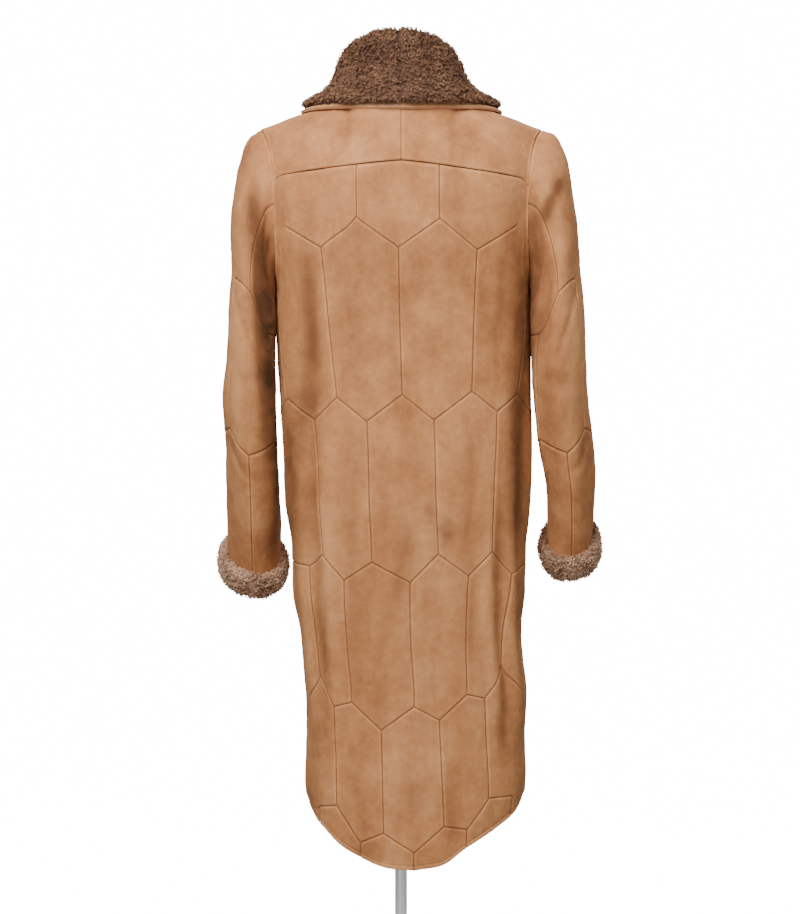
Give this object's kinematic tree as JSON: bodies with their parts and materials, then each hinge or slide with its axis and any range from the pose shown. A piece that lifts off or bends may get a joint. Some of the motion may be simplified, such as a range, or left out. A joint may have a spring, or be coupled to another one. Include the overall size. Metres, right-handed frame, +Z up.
{
  "type": "shearling coat on a dress form",
  "caption": "Long suede patchwork shearling coat with a tall fold-over wool collar, wool cuffs and a rounded hem, closed on a limbless dress form on a pole and round base.",
  "frame": {"origin": "underside centre of the stand's round base, on the pole's axis", "axes": "+Z up, the coat's back faces +Y, the wearer's left is +X"},
  "size_m": [0.584, 0.34, 1.5565],
  "materials": {
    "suede": "matt napped suede, tan and mottled",
    "suede_edge": "matt pale suede edge",
    "wool": "curly brown shearling wool",
    "button": "dark brown, half gloss",
    "form_cover": "smooth close knit cover",
    "steel": "brushed, clear of marks"
  },
  "bodies": {
    "root": {"back": "suede", "back_yoke_left": "suede", "back_yoke_right": "suede", "front_left": "suede", "front_right": "suede", "sleeve_left": "suede", "sleeve_right": "suede", "cuff_left": "wool", "cuff_right": "wool", "collar": "wool", "collar_binding": "suede_edge", "form_torso": "form_cover", "form_neck_cap": "steel", "stand_pole": "steel", "stand_base": "steel", "button_1": "button", "button_2": "button", "button_3": "button", "button_4": "button", "button_5": "button"}
  },
  "joints": []
}
